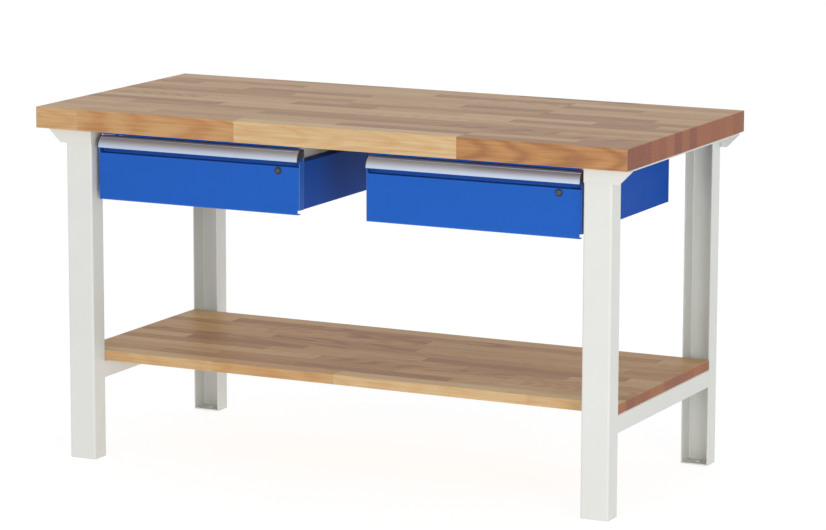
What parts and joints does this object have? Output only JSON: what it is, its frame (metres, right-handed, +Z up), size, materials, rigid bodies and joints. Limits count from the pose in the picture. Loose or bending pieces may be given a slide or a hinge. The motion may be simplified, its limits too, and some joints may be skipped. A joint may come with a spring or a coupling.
{
  "type": "workbench with drawers",
  "caption": "Free-standing workbench: beech worktop and shelf on a folded steel frame, with two hanging drawer units on full-extension runners, grip strips and cam locks.",
  "frame": {"origin": "on the floor, under the middle of the worktop, which is also the bottom middle of the whole box", "axes": "+X along the length of the bench towards the right end seen from the front, +Y from the drawers to the back, +Z up"},
  "size_m": [1.5, 0.7, 0.84],
  "materials": {
    "beech_worktop": "oiled, satin",
    "beech_shelf": "oiled, satin",
    "frame_powder_coat": "fine powder coat, light grey",
    "unit_powder_coat": "fine powder coat, gentian blue",
    "front_powder_coat": "fine powder coat, gentian blue",
    "body_powder_coat": "fine powder coat, light grey",
    "runner_steel": "bright zinc",
    "cage_steel": "plain steel",
    "grip_aluminium": "satin anodised",
    "cap_plastic": "fine grain",
    "lock_black_zinc": "black, semi-gloss",
    "lock_barrel_zinc": "black, satin",
    "lock_steel": "zinc plated",
    "zinc_screws": "bright zinc",
    "buffer_rubber": "matt"
  },
  "bodies": {
    "root": {"worktop": "beech_worktop", "shelf": "beech_shelf", "front_left_leg": "frame_powder_coat", "front_right_leg": "frame_powder_coat", "rear_left_leg": "frame_powder_coat", "rear_right_leg": "frame_powder_coat", "front_left_foot_plate": "frame_powder_coat", "front_right_foot_plate": "frame_powder_coat", "rear_left_foot_plate": "frame_powder_coat", "rear_right_foot_plate": "frame_powder_coat", "left_header": "frame_powder_coat", "right_header": "frame_powder_coat", "left_side_rail": "frame_powder_coat", "right_side_rail": "frame_powder_coat", "worktop_screws": "zinc_screws", "shelf_screws": "zinc_screws", "left_unit_left_wall": "unit_powder_coat", "left_unit_right_wall": "unit_powder_coat", "left_unit_crossbar": "unit_powder_coat", "left_unit_back": "unit_powder_coat", "left_runner_outer_left": "runner_steel", "left_runner_outer_right": "runner_steel", "left_back_buffers": "buffer_rubber", "right_unit_left_wall": "unit_powder_coat", "right_unit_right_wall": "unit_powder_coat", "right_unit_crossbar": "unit_powder_coat", "right_unit_back": "unit_powder_coat", "right_runner_outer_left": "runner_steel", "right_runner_outer_right": "runner_steel", "right_back_buffers": "buffer_rubber"},
    "left_drawer": {"left_drawer_body": "body_powder_coat", "left_drawer_front": "front_powder_coat", "left_grip_strip": "grip_aluminium", "left_grip_end_caps": "cap_plastic", "left_lock_housing": "lock_black_zinc", "left_lock_nut": "lock_steel", "left_runner_inner_left": "runner_steel", "left_runner_inner_right": "runner_steel"},
    "left_runner_middles": {"left_runner_middle_left": "runner_steel", "left_runner_middle_right": "runner_steel"},
    "left_outer_cages": {"left_ball_cages_outer": "cage_steel"},
    "left_inner_cages": {"left_ball_cages_inner": "cage_steel"},
    "left_lock_turning": {"left_lock_barrel": "lock_barrel_zinc", "left_lock_cam": "lock_steel"},
    "right_drawer": {"right_drawer_body": "body_powder_coat", "right_drawer_front": "front_powder_coat", "right_grip_strip": "grip_aluminium", "right_grip_end_caps": "cap_plastic", "right_lock_housing": "lock_black_zinc", "right_lock_nut": "lock_steel", "right_runner_inner_left": "runner_steel", "right_runner_inner_right": "runner_steel"},
    "right_runner_middles": {"right_runner_middle_left": "runner_steel", "right_runner_middle_right": "runner_steel"},
    "right_outer_cages": {"right_ball_cages_outer": "cage_steel"},
    "right_inner_cages": {"right_ball_cages_inner": "cage_steel"},
    "right_lock_turning": {"right_lock_barrel": "lock_barrel_zinc", "right_lock_cam": "lock_steel"}
  },
  "joints": [
    {"name": "left_drawer_slide", "type": "slide", "parent": "root", "child": "left_drawer", "axis": [0, -1, 0], "range_m": [0, 0.44]},
    {"name": "left_runner_slide", "type": "slide", "parent": "root", "child": "left_runner_middles", "axis": [0, -1, 0], "range_m": [0, 0.22]},
    {"name": "left_outer_cage_roll", "type": "slide", "parent": "root", "child": "left_outer_cages", "axis": [0, -1, 0], "range_m": [0, 0.11]},
    {"name": "left_inner_cage_roll", "type": "slide", "parent": "root", "child": "left_inner_cages", "axis": [0, -1, 0], "range_m": [0, 0.33]},
    {"name": "left_lock_turn", "type": "hinge", "parent": "left_drawer", "child": "left_lock_turning", "pos_m": [-0.1315, -0.2885, 0.72525], "axis": [0, -1, 0], "range_deg": [0, 90]},
    {"name": "right_drawer_slide", "type": "slide", "parent": "root", "child": "right_drawer", "axis": [0, -1, 0], "range_m": [0, 0.44]},
    {"name": "right_runner_slide", "type": "slide", "parent": "root", "child": "right_runner_middles", "axis": [0, -1, 0], "range_m": [0, 0.22]},
    {"name": "right_outer_cage_roll", "type": "slide", "parent": "root", "child": "right_outer_cages", "axis": [0, -1, 0], "range_m": [0, 0.11]},
    {"name": "right_inner_cage_roll", "type": "slide", "parent": "root", "child": "right_inner_cages", "axis": [0, -1, 0], "range_m": [0, 0.33]},
    {"name": "right_lock_turn", "type": "hinge", "parent": "right_drawer", "child": "right_lock_turning", "pos_m": [0.5695, -0.2885, 0.72525], "axis": [0, -1, 0], "range_deg": [0, 90]}
  ],
  "couplings": [
    {"joint": "left_runner_slide", "follows": "left_drawer_slide", "ratio": 0.5},
    {"joint": "left_outer_cage_roll", "follows": "left_drawer_slide", "ratio": 0.25},
    {"joint": "left_inner_cage_roll", "follows": "left_drawer_slide", "ratio": 0.75},
    {"joint": "right_runner_slide", "follows": "right_drawer_slide", "ratio": 0.5},
    {"joint": "right_outer_cage_roll", "follows": "right_drawer_slide", "ratio": 0.25},
    {"joint": "right_inner_cage_roll", "follows": "right_drawer_slide", "ratio": 0.75}
  ]
}
